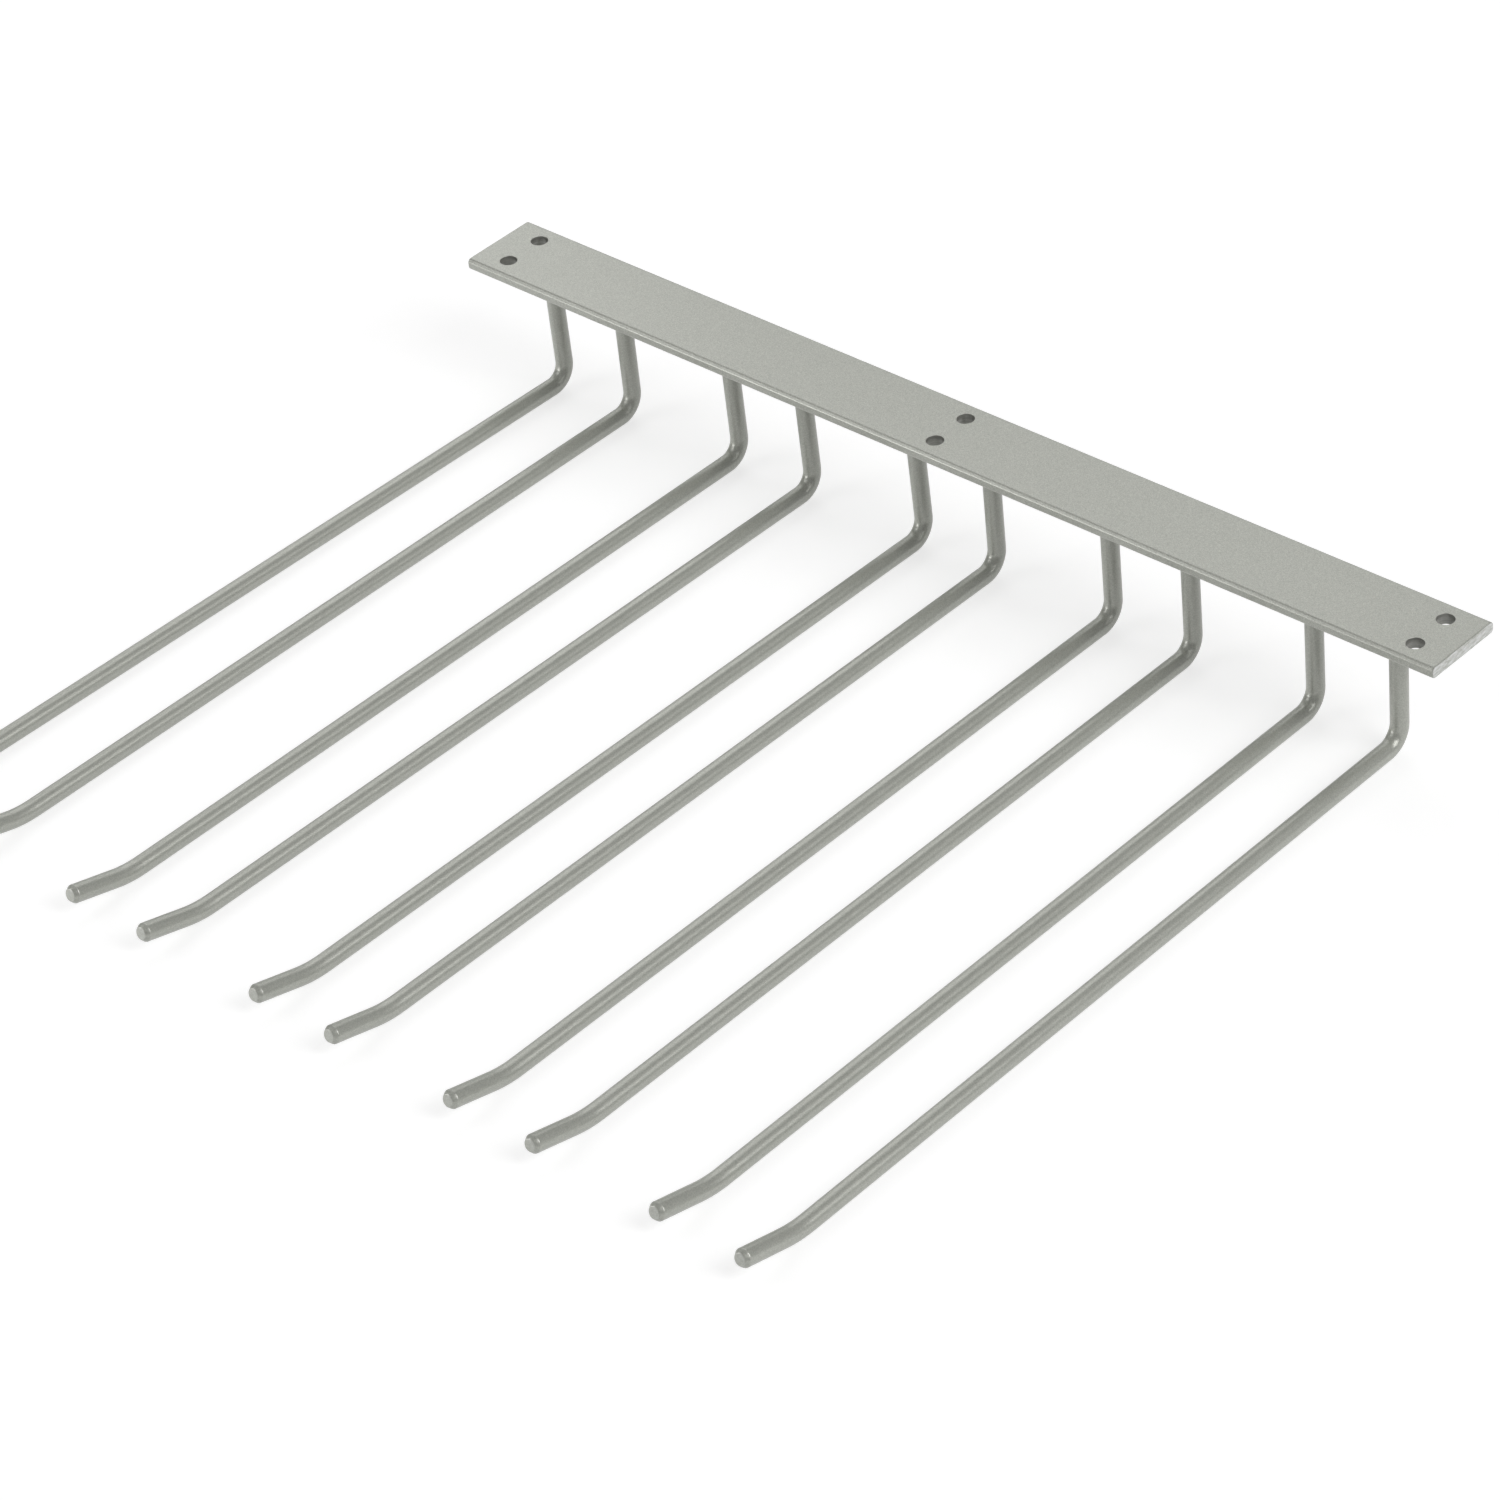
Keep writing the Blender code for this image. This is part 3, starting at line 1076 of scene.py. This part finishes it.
@dataclass(frozen=True)
class PhotoCamera:
    """The camera, where the photograph was taken from."""

    place: tuple[float, float, float] = (1.030935, -1.110262, 1.007038)
    azimuth: float = 0.797
    elevation: float = 0.639
    roll: float = -0.105
    focal_length_px: float = 5739.832
    picture_px: float = 1500.0
    sensor_mm: float = 36.0
    nearest: float = 0.05
    farthest: float = 50.0

    def set_up(self) -> None:
        """Create the camera and make it the scene's own."""
        lens = bpy.data.cameras.new("photo_camera")
        lens.sensor_fit = "HORIZONTAL"
        lens.sensor_width = self.sensor_mm
        lens.lens = self.focal_length_px * self.sensor_mm / self.picture_px
        lens.clip_start = self.nearest
        lens.clip_end = self.farthest
        camera = bpy.data.objects.new("photo_camera", lens)
        bpy.context.scene.collection.objects.link(camera)
        back = Vector((
            math.sin(self.azimuth) * math.cos(self.elevation),
            -math.cos(self.azimuth) * math.cos(self.elevation),
            math.sin(self.elevation),
        ))
        level = Vector((math.cos(self.azimuth), math.sin(self.azimuth), 0))
        upright = back.cross(level)
        right = level * math.cos(self.roll) + upright * math.sin(self.roll)
        up = upright * math.cos(self.roll) - level * math.sin(self.roll)
        turn = Matrix((right, up, back)).transposed().to_4x4()
        camera.matrix_world = Matrix.Translation(self.place) @ turn
        bpy.context.scene.camera = camera


@dataclass(frozen=True)
class Softbox:
    """One soft lamp, a flat rectangle that looks at the middle of the rack."""

    name: str
    azimuth: float
    elevation: float
    distance: float
    width: float
    height: float
    brightness: float

    def set_up(self, aim: Vector) -> None:
        """Create the lamp.

        Args:
            aim: The place that the lamp looks at.
        """
        lamp = bpy.data.lights.new(self.name, "AREA")
        lamp.shape = "RECTANGLE"
        lamp.size = self.width
        lamp.size_y = self.height
        lamp.energy = math.pi * self.width * self.height * self.brightness
        stand = bpy.data.objects.new(self.name, lamp)
        bpy.context.scene.collection.objects.link(stand)
        azimuth, elevation = math.radians(self.azimuth), math.radians(self.elevation)
        away = Vector((
            math.sin(azimuth) * math.cos(elevation),
            math.cos(azimuth) * math.cos(elevation),
            math.sin(elevation),
        ))
        stand.location = aim + away * self.distance
        stand.rotation_euler = (-away).to_track_quat("-Z", "Y").to_euler()
        stand.visible_camera = False


@dataclass
class Studio:
    """The pale floor, the soft lamps and the dim surround."""

    floor_height: float = -49.2 * MM
    floor_size: float = 8.0
    floor_colour: tuple[float, float, float] = (0.5, 0.5, 0.5)
    floor_lift: float = 0.66
    surround: float = 0.2
    aim: Vector = field(default_factory=lambda: Vector((0, -150 * MM, -30 * MM)))
    softboxes: tuple[Softbox, ...] = (
        Softbox("right_softbox", 82, 33, 2.2, 1.35, 0.85, 4.77),
        Softbox("upper_right_softbox", 92, 52, 2.2, 0.8, 0.7, 4.64),
        Softbox("low_front_strip", -142, 4.9, 1.3, 0.5, 0.26, 9.3),
        Softbox("back_left_softbox", -64, 24, 1.3, 0.8, 0.5, 1.06),
        Softbox("back_softbox", -36, 42, 1.3, 0.7, 0.6, 1.27),
        Softbox("upper_back_softbox", -45, 62, 3.0, 1.6, 1.2, 0.85),
        Softbox("front_left_softbox", -132, 38, 1.3, 0.8, 0.5, 1.96),
    )

    def build(self) -> None:
        """Set up the floor, the lamps, the surround and the view."""
        self._floor()
        for softbox in self.softboxes:
            softbox.set_up(self.aim)
        self._surround()
        bpy.context.scene.view_settings.view_transform = "Standard"

    def _floor(self) -> None:
        """A wide matt floor, lifted to a pale tone where the camera or a shiny face sees it."""
        deselect_everything()
        bpy.ops.mesh.primitive_plane_add(size=self.floor_size, location=(0, 0, self.floor_height))
        floor = name_active("studio_floor")
        apply_place(floor)
        material = bpy.data.materials.new("studio_floor")
        material.use_nodes = True
        wiring = Wiring(material.node_tree)
        shader = material.node_tree.nodes["Principled BSDF"]
        shader.inputs["Base Color"].default_value = (*self.floor_colour, 1)
        shader.inputs["Roughness"].default_value = 1.0
        shader.inputs["Specular IOR Level"].default_value = 0.0
        shader.inputs["Emission Color"].default_value = (1, 1, 1, 1)
        ray = wiring.add("ShaderNodeLightPath").outputs
        seen = wiring.math("MAXIMUM", ray["Is Camera Ray"], ray["Is Glossy Ray"])
        seen = wiring.math("MAXIMUM", seen, ray["Is Transmission Ray"])
        wiring.feed(shader.inputs["Emission Strength"], wiring.math("MULTIPLY", seen, self.floor_lift))
        floor.data.materials.append(material)
        floor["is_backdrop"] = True

    def _surround(self) -> None:
        """A plain dim world."""
        world = bpy.data.worlds.new("studio_surround")
        world.use_nodes = True
        bpy.context.scene.world = world
        background = world.node_tree.nodes["Background"]
        background.inputs["Color"].default_value = (1, 1, 1, 1)
        background.inputs["Strength"].default_value = self.surround


def corners(box: tuple[Iterable[float], Iterable[float]]) -> list[list[float]]:
    """A box's two corners as plain numbers."""
    return [[float(value) for value in corner] for corner in box]


def main() -> None:
    logging.basicConfig(level=logging.INFO, format="%(name)s: %(message)s")
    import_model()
    cad_box = corners(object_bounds())
    noise.seed_set(NOISE_SEED)
    PhotoCamera().set_up()
    Rack(Effects()).build()
    Studio().build()
    json.dumps({"cad": cad_box, "visual": corners(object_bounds())})


if __name__ == "__main__":
    main()
